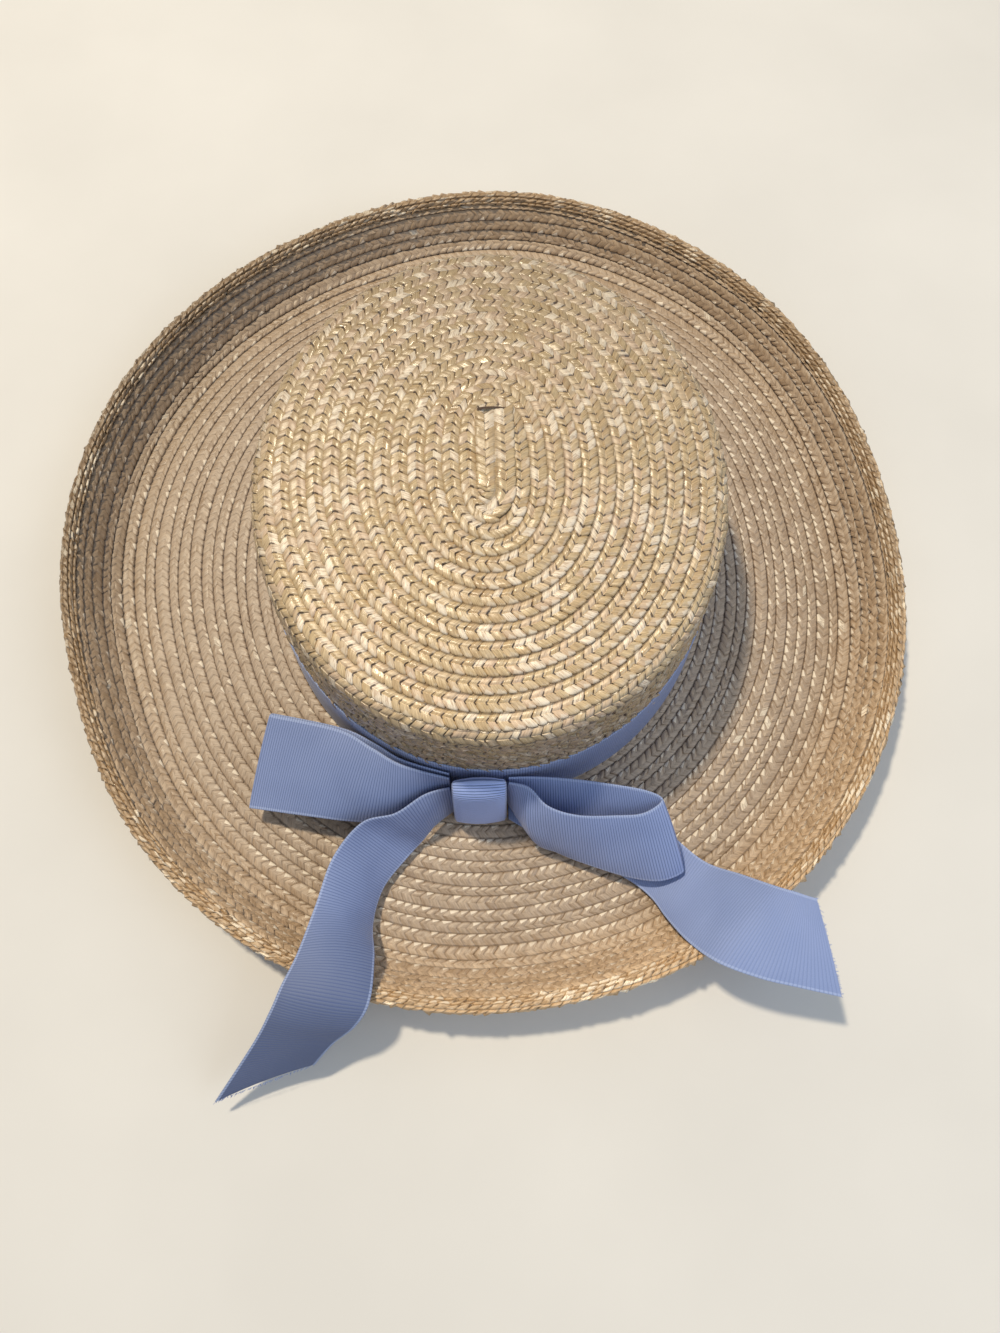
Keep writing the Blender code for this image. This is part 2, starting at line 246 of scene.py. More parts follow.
def crown_table():
    """Columns of the crown's profile: distance from the tip's middle, half x, half y, height."""
    side_top = SIDE_HEIGHT - SHOULDER_RADIUS
    arc = np.linspace(SHOULDER_ANGLE, 0.0, 16)
    top_x, top_y = crown_half_sizes(side_top)
    inward = SHOULDER_RADIUS * (1.0 - np.cos(arc))
    side = np.linspace(side_top, 0.0, 8)[1:]
    side_x, side_y = crown_half_sizes(side)
    half_x = np.concatenate([top_x - inward, side_x])
    half_y = np.concatenate([top_y - inward, side_y])
    height = np.concatenate([side_top + SHOULDER_RADIUS * np.sin(arc), side])
    distance = half_x[0] + from_zero(np.hypot(np.diff(half_x), np.diff(height)))
    return distance, half_x, half_y, height


def crown_half_sizes(height):
    """Half sizes of the crown's outer face at a height over the brim's upper face."""
    share = height / SIDE_HEIGHT
    return (FOOT_HALF_X + (TIP_HALF_X - FOOT_HALF_X) * share,
            FOOT_HALF_Y + (TIP_HALF_Y - FOOT_HALF_Y) * share)


CROWN = crown_table()
TIP_EDGE = CROWN[0][0]
CROWN_END = CROWN[0][-1]


def crown_place(distance, turn):
    """Points on the crown's outer face: racetrack rows on the tip, ovals on the side."""
    table_distance, table_x, table_y, table_height = CROWN
    tip = np.clip(distance / TIP_EDGE, 0.0, 1.0)
    half_x = np.where(distance < TIP_EDGE, distance, np.interp(distance, table_distance, table_x))
    longer = STRIP_REACH + (table_y[0] - table_x[0] - STRIP_REACH) * tip
    longer = np.where(distance < TIP_EDGE, longer,
                      np.interp(distance, table_distance, table_y - table_x))
    round_share = STRIP_SQUARENESS + (1.0 - STRIP_SQUARENESS) * tip
    sine, cosine = np.sin(turn), np.cos(turn)
    x = half_x * sine
    y = half_x * cosine + longer * cosine / np.sqrt(cosine ** 2 + round_share * sine ** 2 + 1e-9)
    dome = 1.0 - (x / table_x[0]) ** 2 - (y / table_y[0]) ** 2
    height = np.interp(distance, table_distance, table_height)
    height = height + np.where(distance < TIP_EDGE, DOME_HEIGHT * np.maximum(dome, 0.0), 0.0)
    below = np.maximum(distance - CROWN_END, 0.0)
    return np.stack([CROWN_X + x, CROWN_Y + y, WALL + height - below], axis=-1)


def curl_table():
    """Columns of the upturned edge's upper face: distance from the flat, run, rise."""
    arc = np.linspace(0.0, CURL_ANGLE, 16)
    run = CURL_RADIUS * np.sin(arc)
    rise = CURL_RADIUS * (1.0 - np.cos(arc))
    wall_run = run[-1] + CURL_WALL * math.cos(CURL_ANGLE)
    wall_rise = rise[-1] + CURL_WALL * math.sin(CURL_ANGLE)
    lip_run = wall_run + LIP_WIDTH * math.cos(LIP_ANGLE)
    lip_rise = wall_rise + LIP_WIDTH * math.sin(LIP_ANGLE)
    run = np.concatenate([run, [wall_run, lip_run]])
    rise = np.concatenate([rise, [wall_rise, lip_rise]])
    return from_zero(np.hypot(np.diff(run), np.diff(rise))), run, rise


CURL = curl_table()
FLAT_END = CURL[1][-1]  # from the end of the flat out to the rim
BRIM_END = BRIM_FLAT + CURL[0][-1] - LIP_WIDTH + LIP_OF_BRIM


def rim_lump(azimuth):
    """How far the rim stands out of its oval."""
    out = np.zeros_like(azimuth)
    for lump in RIM_LUMPS:
        away = (np.degrees(azimuth) - lump.azimuth_deg + 180.0) % 360.0 - 180.0
        out += lump.out * np.exp(-(away / lump.half_width_deg) ** 2)
    return out


def stray(distance, turn):
    """How far the brim's sewn rows are from their even places; not at all at its two edges."""
    rows = distance / BRIM_ROW
    rows_left = (BRIM_END - distance) / BRIM_ROW
    waves = np.sin(3.0 * turn + 2.1 * rows) + 0.7 * np.sin(7.0 * turn - 3.3 * rows + 1.0)
    return STRAY * waves * np.clip(rows, 0.0, 1.0) * np.clip(rows_left, 0.0, 1.0)


def brim_place(distance, turn):
    """Points on the brim's upper face, over the flat and up its curled edge."""
    distance = distance + stray(distance, turn)
    share = np.minimum(distance / BRIM_FLAT, 1.0)
    run = np.interp(distance - BRIM_FLAT, CURL[0], CURL[1])
    rise = np.interp(distance - BRIM_FLAT, CURL[0], CURL[2])
    half_x = FOOT_HALF_X - WALL + (RIM_HALF_X - FLAT_END - FOOT_HALF_X + WALL) * share + run
    half_y = FOOT_HALF_Y - WALL + (RIM_HALF_Y - FLAT_END - FOOT_HALF_Y + WALL) * share + run
    return oval_place(half_x, half_y, 0.0, rise, share, turn)


def oval_place(half_x, half_y, out, rise, share, turn):
    """Points on ovals that grow into the rim's as share goes from 0 to 1."""
    azimuth = 0.5 * math.pi - turn
    out = out + share * rim_lump(azimuth)
    x = CROWN_X + RIM_SHIFT_X * share + (half_x + out) * np.cos(azimuth)
    y = CROWN_Y + RIM_SHIFT_Y * share + (half_y + out) * np.sin(azimuth)
    return np.stack([x, y, WALL + rise], axis=-1)


def edge_table():
    """Columns of the rim braid's section, once round it: distance, along the lip, proud of it."""
    top, under = EDGE_PROUD - SUNK, EDGE_PROUD - EDGE_THICKNESS + SUNK
    middle = 0.5 * (top + under)
    along = np.array([LIP_OF_BRIM, LIP_OF_BRIM + 0.0004, LIP_WIDTH - 0.0008, LIP_WIDTH,
                      LIP_WIDTH - 0.0008, LIP_OF_BRIM + 0.0004, LIP_OF_BRIM])
    proud = np.array([middle, top, top, middle, under, under, middle])
    return from_zero(np.hypot(np.diff(along), np.diff(proud))), along, proud


EDGE = edge_table()


def edge_place(distance, turn):
    """Points round the doubled braid of the rim; distance runs round its section."""
    along = np.interp(distance, EDGE[0], EDGE[1])
    proud = np.interp(distance, EDGE[0], EDGE[2])
    foot_run, foot_rise = CURL[1][-2], CURL[2][-2]
    run = foot_run + along * math.cos(LIP_ANGLE) - proud * math.sin(LIP_ANGLE)
    rise = foot_rise + along * math.sin(LIP_ANGLE) + proud * math.cos(LIP_ANGLE)
    return oval_place(RIM_HALF_X, RIM_HALF_Y, run - FLAT_END, rise, 1.0, turn)


def faced(place, distance, turn):
    """Points of a surface and the unit normals on its outer, upper side."""
    small_distance, small_turn = 0.0002, 0.002
    points = place(distance, turn)
    outward = place(distance + small_distance, turn) - place(distance - small_distance, turn)
    onward = place(distance, turn + small_turn) - place(distance, turn - small_turn)
    return points, unit(np.cross(onward, outward))


# Braid

# Where a plait runs: its surface, the middle of its row at turn 0, the row's width, how
# far it moves on in a turn, the limits of the surface, and its length at each turn
Course = namedtuple("Course", "place middle width advance low high turns lengths")


def make_spiral(place, width, high, start, stop):
    """A spiral over a surface with its length measured along the middle of its row."""
    middle = 0.5 * width
    turns = np.linspace(start, stop, int((stop - start) * 40))
    points = place(np.clip(middle + width * turns / FULL_TURN, 0.0, high), turns)
    return Course(place, middle, width, width, 0.0, high, turns, path_lengths(points))


def make_ring(place, low, high):
    """One closed row between two distances, with a whole number of strands, and that number."""
    middle = 0.5 * (low + high)
    overlap = 0.2
    turns = np.linspace(-overlap, FULL_TURN + overlap, 400)
    lengths = path_lengths(place(middle + 0.0 * turns, turns))
    lengths -= np.interp(0.0, turns, lengths)
    round_it = np.interp(FULL_TURN, turns, lengths)
    strands = round(round_it / PERIOD)
    lengths *= strands * PERIOD / round_it
    return Course(place, middle, high - low, 0.0, low, high, turns, lengths), strands


def strands_at(spiral, distance):
    """How many strands the plait has laid when the middle of its row reaches a distance."""
    turn = (distance - spiral.middle) * FULL_TURN / spiral.advance
    return int(np.interp(turn, spiral.turns, spiral.lengths) / PERIOD)


def braid_points(course, first, last, row, strand, side, lap, sunk, seed):
    """Grid of points for the strands from first to last, with phase and across for each."""
    rng = np.random.default_rng(seed)
    strands = last - first
    shares, rises = np.array(strand).T
    lanes, slant, section, pillow, scallop = np.array(row).T
    section = section * MM
    phase = np.append((np.arange(first, last)[:, None] + shares).ravel(), last)
    rise = np.append(np.tile(rises, strands), rises[0])[:, None]
    tilt = np.append(np.tile(np.where(shares > 0.0, shares - 0.5, 0.0), strands), 0.0)[:, None]
    draws = rng.normal(0.0, 1.0, (6, strands + 1)).repeat(len(strand), axis=1)[:, :len(phase)]
    shifts = rng.normal(0.0, SHIFTED, strands + 1)
    shifts[[0, -1]] = 0.0
    shifted = np.interp(phase, np.arange(first, last + 1), shifts)
    folded = lanes > FOLD
    roll = lanes - np.where(folded, HALF_MIDDLES[1], HALF_MIDDLES[0])
    heights, tilts, rolls = draws.reshape(3, 2, -1, 1)
    lift = rise * (UNEVEN * heights + 2.0 * ROLLED * rolls * roll) + TILTED * tilt * tilts
    uneven = np.where(folded, lift[1], lift[0])
    across = lanes + scallop * (2.0 * rise - 1.0)
    run = ((phase + shifted)[:, None] + slant) * PERIOD
    turn = np.interp(run, course.lengths, course.turns)
    middle = course.middle + course.advance * turn / FULL_TURN
    inner = np.clip(middle - 0.5 * course.width, course.low, course.high)
    outer = np.clip(middle + 0.5 * course.width, course.low, course.high)
    start, width = (inner, outer - inner) if lap > 0 else (outer, inner - outer)
    points, normals = faced(course.place, start + width * across, turn)
    facing = 0.5 + 0.5 * np.cos(turn - FRONT_RIGHT)
    if course.place is brim_place and side > 0:
        pillow = pillow * (1.0 + LIVELY * facing ** 2)
    if row is CROWN_ROW:
        level = WOVEN * (1.0 - facing[:, :1]) ** 2 * ((lanes > 0.0) & (lanes <= 1.0))
        section = section + level * (WOVEN_HEIGHT - section)
    height = section + pillow * (PILLOW * rise + uneven) - sunk
    if side < 0:
        height = np.minimum(height, UNDER_LIMIT)
    points = points + normals * (side * height)[..., None]
    return points, np.broadcast_to(phase[:, None], height.shape), across


def grid_mesh(name, points, along, across, flip, tube=False):
    """A mesh over a grid of points, with (along, across) as its UV layer strands. A tube's
    last lane joins its first, and its two ends are closed."""
    count, width = points.shape[:2]
    lanes = width if tube else width - 1
    row, lane = np.meshgrid(np.arange(count - 1), np.arange(lanes), indexing="ij")
    beside = (lane + 1) % width
    corners = np.stack([row * width + lane, row * width + beside,
                        (row + 1) * width + beside, (row + 1) * width + lane], axis=-1)
    faces = corners.reshape(-1, 4).tolist()
    if tube:
        faces += [list(range(width))[::-1], list(range((count - 1) * width, count * width))]
    if flip:
        faces = [face[::-1] for face in faces]
    mesh = bpy.data.meshes.new(name)
    mesh.from_pydata(points.reshape(-1, 3).tolist(), [], faces)
    uv = np.stack([np.ravel(along), np.ravel(across)], axis=-1).astype(np.float32)
    flat = [corner for face in faces for corner in face]
    mesh.uv_layers.new(name="strands").data.foreach_set("uv", uv[flat].ravel())
    mesh.shade_smooth()
    return mesh


def crease(mesh, width, every, fold_lane):
    """Keep the shading of a braid's strands apart along their sides and at the fold."""
    ends = np.empty(2 * len(mesh.edges), dtype=np.int32)
    mesh.edges.foreach_get("vertices", ends)
    rows, lanes = np.divmod(ends.reshape(-1, 2), width)
    beside = (rows[:, 0] == rows[:, 1]) & (rows[:, 0] % every == 0)
    at_fold = (lanes == fold_lane).all(axis=1)
    mesh.attributes.new("sharp_edge", "BOOLEAN", "EDGE").data.foreach_set("value", beside | at_fold)


def add_object(name, data):
    """A new object in the scene."""
    added = bpy.data.objects.new(name, data)
    bpy.context.scene.collection.objects.link(added)
    return added


def show(name, mesh, material, node):
    """Add a mesh as a piece of the hat that stands for a CAD node."""
    mesh.materials.append(material)
    piece = add_object(name, mesh)
    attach(piece, "root")
    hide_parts(node)
    return piece


def lay_braid(name, course, span, row, material, node, side=1, lap=1, depth=SUNK, seed=0):
    """Show a course's strands from the first to the last of a span, on the side of the
    surface that side gives and a depth under it. Its open selvage is the outer one where
    lap is 1."""
    strand = PLAIN_STRAND if row is PLAIN_ROW else STRAND
    points, phase, across = braid_points(course, *span, row, strand, side, lap, depth, seed)
    mesh = grid_mesh(name, points, phase, across, flip=side * lap > 0)
    fold_lane = int(np.argmin([abs(line.across - FOLD) for line in row]))
    crease(mesh, len(row), len(strand), fold_lane)
    show(name, mesh, material, node)


# Materials

class Nodes:
    """Short helpers that add and link the nodes of a material."""

    def __init__(self, material):
        self.tree = material.node_tree

    def feed(self, socket, value):
        """Link an output to a socket, or set a plain value there."""
        if isinstance(value, bpy.types.NodeSocket):
            self.tree.links.new(value, socket)
        else:
            socket.default_value = value

    def put(self, kind, inputs=(), **settings):
        """A new node. inputs gives its sockets by name or number."""
        node = self.tree.nodes.new(kind)
        for key, value in settings.items():
            setattr(node, key, value)
        for key, value in dict(inputs).items():
            self.feed(node.inputs[key], value)
        return node

    def sums(self, operation, a, b=0.0, c=0.0):
        return self.put("ShaderNodeMath", enumerate((a, b, c)), operation=operation).outputs[0]

    def add(self, a, b):
        return self.sums("ADD", a, b)

    def less(self, a, b):
        return self.sums("SUBTRACT", a, b)

    def times(self, a, b):
        return self.sums("MULTIPLY", a, b)

    def line(self, value, by, at_zero):
        return self.sums("MULTIPLY_ADD", value, by, at_zero)

    def above(self, a, b):
        return self.sums("GREATER_THAN", a, b)

    def below(self, a, b):
        return self.sums("LESS_THAN", a, b)

    def apart(self, a, b):
        return self.sums("ABSOLUTE", self.less(a, b))

    def limited(self, value):
        """A value kept from 0 to 1."""
        return self.sums("MINIMUM", self.sums("MAXIMUM", value, 0.0), 1.0)

    def vector(self, x, y, z=0.0):
        return self.put("ShaderNodeCombineXYZ", enumerate((x, y, z))).outputs[0]

    def parts(self, vector):
        return self.put("ShaderNodeSeparateXYZ", {0: vector}).outputs

    def strands(self):
        """A point's way along its row, in strands, and its share of the way across it."""
        return self.parts(self.put("ShaderNodeUVMap", uv_map="strands").outputs["UV"])[:2]

    def place(self):
        return self.put("ShaderNodeTexCoord").outputs["Object"]

    def noise(self, place, scale, detail=2.0, roughness=0.5):
        values = {"Vector": place, "Scale": scale, "Detail": detail, "Roughness": roughness}
        return self.put("ShaderNodeTexNoise", values).outputs["Fac"]

    def ramp(self, value, *stops):
        node = self.put("ShaderNodeValToRGB", {"Fac": value})
        marks = node.color_ramp.elements
        while len(marks) < len(stops):
            marks.new(0.5)
        for mark, (at, colour) in zip(marks, stops):
            mark.position = at
            mark.color = (*colour, 1.0)
        return node.outputs["Color"]

    def mix(self, share, a, b, blend="MIX"):
        return self.put("ShaderNodeMix", {0: share, 6: a, 7: b}, data_type="RGBA",
                        blend_type=blend).outputs[2]

    def bump(self, height, strength, distance):
        values = {"Strength": strength, "Distance": distance, "Height": height}
        return self.put("ShaderNodeBump", values)


def new_material(name):
    """An empty node material and its main shader."""
    material = bpy.data.materials.new(name)
    material.use_nodes = True
    return material, material.node_tree.nodes["Principled BSDF"]


# Colours of painted light and shade, in this order: a glint on some strands, a highlight on the selvage
# teeth, and the shade in creases, grooves and at the strip's cut end
PAINTED_GLINT = (0.84, 0.75, 0.60, 1.0)
PAINTED_TOOTH_HIGHLIGHT = (0.92, 0.81, 0.65, 1.0)
PAINTED_SHADE_UMBER = (0.075, 0.045, 0.030, 1.0)

# The straw's look. Shares of a row's width go from its tucked edge to its selvage
PATCH_SCALE = 18.0
FIBRE_SCALES = (9.0, 1.6, 40.0)  # along a strand, across its row, and from strand to strand
FIBRE_TONES = ((0.30, (0.58, 0.50, 0.42)), (0.52, (1.0, 1.0, 1.0)), (0.70, (1.36, 1.36, 1.32)))
FIBRE_STRENGTH = 0.75
OWN_TINT = 0.55  # share of a tint that is the strand's own and not its patch's
TINT_START = 0.15
TINT_SPREAD = 0.70
GLINT_FROM = 0.47  # the fibres over this carry the painted glint of a strand that has one
RAGGED = 0.10  # how far the patches push the edge of the rim's colour
# Painted light and shade near the rim: lighter at the front, darker at the left
LIGHTER_FRONT = 0.64
DARKER_LEFT = 0.34
RUN_SCALE = 0.17  # painted highlights on the teeth come in runs of about six strands
RUN_STRENGTH = 0.75
TOOTH_MIDDLE = 0.45
FOLD_MIDDLE = 0.48
FOLD_REACH = 0.17
OFF_FOLD = 0.35  # strength of the painted crease shade away from the fold
DOT = 0.24  # half length of a dot of painted shade in the groove, in strands
GROOVE_WIDTH = 0.12
WIDER_LEFT = 0.10
WIDER_SEEN = 0.04
DARKER_SEEN = 0.34
FAINTER_FRONT = 0.5

# Straight lines that it follows: slope, value at zero
NEAR_RIM = (5.5, -4.9)  # over the distance from the middle, in half sizes of the rim
TOWARDS = (-1.3, 0.0)  # the front or the left
SEEN = (1.6, 0.3)  # the front right, where the rows are distinct
# Painted shade on the crown's side below its tip, most of it at the front
BELOW_TIP = (-300.0, 300.0 * (WALL + SIDE_HEIGHT - 0.0005))
SHADED_SIDE = (0.9, 0.3)
GLINT = (0.55, 0.15)
RUNS = (5.0, -2.1)
IN_RUNS = (0.60, 0.40)
WHERE_SEEN = (0.65, 0.35)
BRIGHT = (5.0, -4.2)
TOOTH = (0.66, 0.75)  # where a tooth starts across the row, from its middle on
CREASE_WIDTH = (0.055, 0.030)
DOTS = (0.52, 0.46)

# A straw's look. inner, outer: colours of the strands, in the middle and at the rim; pale:
# share of strands with a painted glint; crease, groove, teeth: strength of the painted shade in
# the creases, of the painted shade on the line between rows and of the painted highlight on the
# selvage teeth; even: share of that line that is there on all sides; gloss: least roughness;
# side: how much painted shade darkens the crown below its tip; slope: how much painted light
# brightens it towards the front
Straw = namedtuple("Straw", "inner outer pale crease groove even teeth gloss side slope",
                   defaults=(0.0, 0.0))

# What a point's look depends on. within: share of the way through its strand; chance: a
# number for each half strand; off_x, off_y: place in half sizes of the rim
Spot = namedtuple("Spot", "strand within across folded chance fibre patch off_x off_y height "
                          "near_rim front left seen")


def straw_spot(n):
    """The spot that straw is shaded at."""
    along, across = n.strands()
    strand = n.sums("FLOOR", along)
    folded = n.above(across, FOLD)
    chance = n.put("ShaderNodeTexWhiteNoise", {"Vector": n.vector(strand, folded)},
                   noise_dimensions="2D").outputs["Value"]
    fibres = [n.times(value, scale) for value, scale in zip((along, across, chance), FIBRE_SCALES)]
    place = n.place()
    patch = n.noise(place, PATCH_SCALE, 3.0)
    x, y, height = n.parts(place)
    off_x = n.sums("DIVIDE", n.less(x, CROWN_X + RIM_SHIFT_X), RIM_HALF_X)
    off_y = n.sums("DIVIDE", n.less(y, CROWN_Y + RIM_SHIFT_Y), RIM_HALF_Y)
    radius = n.sums("SQRT", n.add(n.times(off_x, off_x), n.times(off_y, off_y)))
    return Spot(strand, n.sums("FRACT", along), across, folded, chance,
                n.noise(n.vector(*fibres), 1.0, 3.0, 0.65), patch, off_x, off_y, height,
                near_rim=n.limited(n.line(n.add(radius, n.times(patch, RAGGED)), *NEAR_RIM)),
                front=n.limited(n.line(off_y, *TOWARDS)),
                left=n.limited(n.line(off_x, *TOWARDS)),
                seen=n.limited(n.line(n.less(off_x, off_y), *SEEN)))


def straw_tint_and_painted_light(n, straw, spot):
    """The strands' colours, some with a painted glint, with their fibres, under painted light and
    shade: lighter at the rim's front, darker at its left and on the crown's side."""
    pick = n.add(n.times(spot.chance, OWN_TINT), n.times(spot.patch, 1.0 - OWN_TINT))
    tints = []
    for colours in (straw.inner, straw.outer):
        tints.append(n.ramp(pick, *[(TINT_START + TINT_SPREAD * step / (len(colours) - 1), colour)
                                    for step, colour in enumerate(colours)]))
    colour = n.mix(spot.near_rim, *tints)
    colour = n.mix(FIBRE_STRENGTH, colour, n.ramp(spot.fibre, *FIBRE_TONES), "MULTIPLY")
    # Painted glints: a few strands get a pale, streaky highlight mixed into their colour
    painted_glint_strand = n.above(spot.chance, 1.0 - straw.pale)
    glint = n.times(painted_glint_strand, n.line(n.above(spot.fibre, GLINT_FROM), *GLINT))
    colour = n.mix(glint, colour, PAINTED_GLINT)
    # Painted light and shade: lighter at the rim's front, darker at its left, darker over the tip
    # towards the back, and darker on the crown's side below the tip
    shade = n.less(n.times(spot.front, LIGHTER_FRONT), n.times(spot.left, DARKER_LEFT))
    shade = n.less(n.line(shade, spot.near_rim, 1.0), n.times(spot.off_y, straw.slope))
    below_tip = n.limited(n.line(spot.height, *BELOW_TIP))
    below_tip = n.times(below_tip, n.line(spot.front, *SHADED_SIDE))
    shade = n.times(shade, n.line(below_tip, -straw.side, 1.0))
    return n.mix(1.0, colour, n.vector(shade, shade, shade), "MULTIPLY")


def straw_painted_highlight_and_shade(n, straw, spot, colour):
    """A colour under painted light and shade: runs of painted highlights on the selvage's teeth,
    painted shade in the creases, most of all at the fold, and in a dotted line in the groove
    beside the selvage."""
    # Painted highlight: runs of pale teeth along the selvage, strongest on the front right
    runs = n.noise(n.vector(n.times(spot.strand, RUN_SCALE), spot.folded), 1.0, 1.0)
    bright = n.limited(n.line(runs, *RUNS))
    bright = n.times(n.line(bright, *IN_RUNS), n.line(spot.seen, *WHERE_SEEN))
    bright = n.limited(n.line(n.line(bright, RUN_STRENGTH, spot.chance), *BRIGHT))
    tooth = n.above(spot.across, n.line(n.apart(spot.within, TOOTH_MIDDLE), *TOOTH))
    colour = n.mix(n.times(tooth, n.times(bright, straw.teeth)), colour, PAINTED_TOOTH_HIGHLIGHT)
    # Painted shade: dark creases between strands, strongest at the fold, and a dotted dark line in the
    # groove beside the selvage, darker on the front right and wider at the rim's left
    crease_near = n.sums("MINIMUM", spot.within, n.less(1.0, spot.within))
    at_fold = n.below(n.apart(spot.across, FOLD_MIDDLE), FOLD_REACH)
    dark = n.line(at_fold, straw.crease * (1.0 - OFF_FOLD), straw.crease * OFF_FOLD)
    dark = n.times(n.below(crease_near, n.line(at_fold, *CREASE_WIDTH)), dark)
    dotted = n.line(n.below(crease_near, DOT), *DOTS)
    dotted = n.sums("MINIMUM", n.line(spot.seen, DARKER_SEEN, dotted), 1.0)
    width = n.line(n.times(spot.left, spot.near_rim), WIDER_LEFT, GROOVE_WIDTH)
    width = n.line(spot.seen, WIDER_SEEN, width)
    groove = n.times(n.below(spot.across, width), n.times(dotted, straw.groove))
    groove = n.times(groove, n.line(spot.seen, 1.0 - straw.even, straw.even))
    groove = n.times(groove, n.line(spot.front, -FAINTER_FRONT * straw.even, 1.0))
    return n.mix(n.sums("MAXIMUM", dark, groove), colour, PAINTED_SHADE_UMBER)


def straw_material(name, straw):
    """Plaited straw, for meshes with the UV layer strands."""
    material, shader = new_material(name)
    n = Nodes(material)
    spot = straw_spot(n)
    n.feed(shader.inputs["Base Color"], straw_painted_highlight_and_shade(n, straw, spot, straw_tint_and_painted_light(n, straw, spot)))
    n.feed(shader.inputs["Roughness"], n.line(spot.chance, 0.22, n.line(spot.fibre, 0.20, straw.gloss)))
    shader.inputs["Specular IOR Level"].default_value = 1.0
    n.feed(shader.inputs["Normal"], n.bump(spot.fibre, 0.5, 0.0003).outputs[0])
    return material


def plain_floor_material():
    """A pale, matt, faintly mottled floor."""
    material, shader = new_material("floor")
    n = Nodes(material)
    tone = n.ramp(n.noise(n.place(), 9.0, 4.0), (0.35, (0.72, 0.71, 0.69)), (0.65, (0.76, 0.75, 0.73)))
    n.feed(shader.inputs["Base Color"], tone)
    shader.inputs["Roughness"].default_value = 0.85
    return material


# Floor, light and camera

def make_floor():
    """A wide pale floor that the hat stands on."""
    half = 2.0
    mesh = bpy.data.meshes.new("floor")
    mesh.from_pydata([(-half, -half, 0), (half, -half, 0), (half, half, 0), (-half, half, 0)],
                     [], [(0, 1, 2, 3)])
    mesh.materials.append(plain_floor_material())
    add_object("floor", mesh)


def make_light(name, place, size, power, colour):
    """A soft square light at a place, facing the hat."""
    light = bpy.data.lights.new(name, "AREA")
    light.size = size
    light.energy = power
    light.color = colour
    lamp = add_object(name, light)
    lamp.location = place
    lamp.rotation_euler = (Vector(AIM) - Vector(place)).to_track_quat("-Z", "Y").to_euler()


def make_lights():
    """A small soft key from behind on the left, a weak fill and a pale surround."""
    key = Vector(AIM) + KEY_DISTANCE * Vector(KEY_DIRECTION).normalized()
    make_light("key", key, KEY_SIZE, KEY_POWER, KEY_COLOUR)
    make_light("fill", FILL_PLACE, FILL_SIZE, FILL_POWER, FILL_COLOUR)
    world = bpy.data.worlds.new("surround")
    world.use_nodes = True
    background = world.node_tree.nodes["Background"]
    background.inputs["Color"].default_value = SURROUND_COLOUR
    background.inputs["Strength"].default_value = SURROUND
    bpy.context.scene.world = world
    bpy.context.scene.view_settings.view_transform = "Standard"


def make_camera():
    """The camera at the photograph's viewing angle."""
    lens = bpy.data.cameras.new("camera")
    lens.sensor_fit = "VERTICAL"
    lens.sensor_height = SENSOR
    lens.lens = FOCAL_PIXELS * SENSOR / PICTURE_HEIGHT
    lens.clip_start = 0.01
    forward = Vector((math.sin(CAMERA_YAW) * math.cos(CAMERA_PITCH),
                      math.cos(CAMERA_YAW) * math.cos(CAMERA_PITCH), -math.sin(CAMERA_PITCH)))
    level = Vector((math.cos(CAMERA_YAW), -math.sin(CAMERA_YAW), 0.0))
    upright = level.cross(forward)
    right = level * math.cos(CAMERA_ROLL) + upright * math.sin(CAMERA_ROLL)
    up = upright * math.cos(CAMERA_ROLL) - level * math.sin(CAMERA_ROLL)
    camera = add_object("camera", lens)
    axes = Matrix((right, up, -forward)).transposed().to_4x4()
    camera.matrix_world = Matrix.Translation(CAMERA_PLACE) @ axes
    bpy.context.scene.camera = camera


# Straw

CREAMS = ((0.49, 0.35, 0.20), (0.53, 0.40, 0.23), (0.56, 0.43, 0.27), (0.58, 0.43, 0.30),
          (0.61, 0.48, 0.35))
TAUPES = ((0.39, 0.285, 0.195), (0.43, 0.325, 0.23), (0.46, 0.355, 0.26), (0.49, 0.385, 0.29))
GOLDS = ((0.325, 0.212, 0.106), (0.37, 0.245, 0.132), (0.415, 0.285, 0.162), (0.45, 0.322, 0.197))
CROWN_STRAW = Straw(CREAMS, CREAMS, pale=0.14, crease=0.88, groove=0.75, even=0.0, teeth=0.50,
                    gloss=0.12, side=0.55, slope=0.52)
BRIM_STRAW = Straw(TAUPES, GOLDS, pale=0.004, crease=0.25, groove=1.00, even=1.0, teeth=0.80,
                   gloss=0.28)
RIM_STRAW = Straw(GOLDS, GOLDS, pale=0.08, crease=0.60, groove=0.75, even=1.0, teeth=0.60,
                  gloss=0.22)


def make_crown():
    """The crown's spiral, outside and inside, and the strip that it starts from."""
    straw = straw_material("straw_crown", CROWN_STRAW)
    outside = make_spiral(crown_place, TIP_ROW, CROWN_END, SPIRAL_START, FULL_TURN * CROWN_TURNS)
    ends = (TIP_EDGE + TIP_LAP, CROWN_END - RIBBON_WIDTH + BAND_LAP, CROWN_END)
    marks = [0] + [strands_at(outside, end) for end in ends]
    lay_braid("crown_tip", outside, marks[0:2], CROWN_ROW, straw, "crown", seed=1)
    lay_braid("crown_side", outside, marks[1:3], CROWN_ROW, straw, "crown", seed=2)
    lay_braid("crown_foot", outside, marks[2:4], PLAIN_ROW, straw, "crown", seed=3)
    foot = CROWN_END + FOOT_LAP
    inside = make_spiral(crown_place, TIP_ROW, foot, 0.0, FULL_TURN * CROWN_TURNS)
    lay_braid("crown_inside", inside, (0, strands_at(inside, foot)), PLAIN_ROW, straw, "crown",
              side=-1, lap=-1, depth=UNDER_SUNK - WALL, seed=4)
    make_start_strip(straw)


